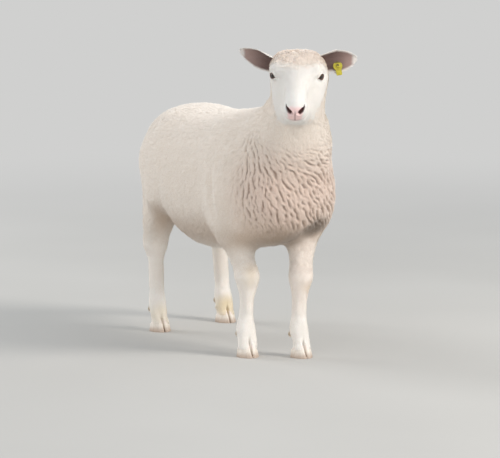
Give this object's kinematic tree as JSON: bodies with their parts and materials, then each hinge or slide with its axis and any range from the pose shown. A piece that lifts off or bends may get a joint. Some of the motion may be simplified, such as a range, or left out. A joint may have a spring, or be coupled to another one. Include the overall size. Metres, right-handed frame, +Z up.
{
  "type": "sheep",
  "caption": "Life-size model of a standing hornless sheep, newly shorn, with its head turned to its right and a blank ear tag in the left ear.",
  "frame": {"origin": "on the ground, under the middle of the animal's bounding box", "axes": "+Z up, the animal faces -Y, its left side is at +X"},
  "size_m": [0.3412, 0.9014, 0.8152],
  "materials": {
    "wool": "shorn cream wool",
    "hair": "short white hair",
    "horn": "dull horn",
    "eye": "wet gloss",
    "tag": "soft satin"
  },
  "bodies": {
    "root": {"barrel": "wool", "cannon_fore_left": "hair", "cannon_fore_right": "hair", "cannon_hind_left": "hair", "cannon_hind_right": "hair", "chest": "wool", "claw_fore_left_inner": "horn", "claw_fore_left_outer": "horn", "claw_fore_right_inner": "horn", "claw_fore_right_outer": "horn", "claw_hind_left_inner": "horn", "claw_hind_left_outer": "horn", "claw_hind_right_inner": "horn", "claw_hind_right_outer": "horn", "dewclaw_fore_left_inner": "horn", "dewclaw_fore_left_outer": "horn", "dewclaw_fore_right_inner": "horn", "dewclaw_fore_right_outer": "horn", "dewclaw_hind_left_inner": "horn", "dewclaw_hind_left_outer": "horn", "dewclaw_hind_right_inner": "horn", "dewclaw_hind_right_outer": "horn", "ear_left": "hair", "ear_right": "hair", "ear_tag_back": "tag", "ear_tag_front": "tag", "eye_left": "eye", "eye_right": "eye", "forearm_left": "wool", "forearm_right": "wool", "gaskin_left": "wool", "gaskin_right": "wool", "head": "hair", "hock_left": "hair", "hock_right": "hair", "knee_left": "hair", "knee_right": "hair", "lower_jaw": "hair", "muzzle": "hair", "neck": "wool", "pastern_fore_left": "hair", "pastern_fore_right": "hair", "pastern_hind_left": "hair", "pastern_hind_right": "hair", "rump": "wool", "tail": "wool", "thigh_left": "wool", "thigh_right": "wool"}
  },
  "joints": []
}
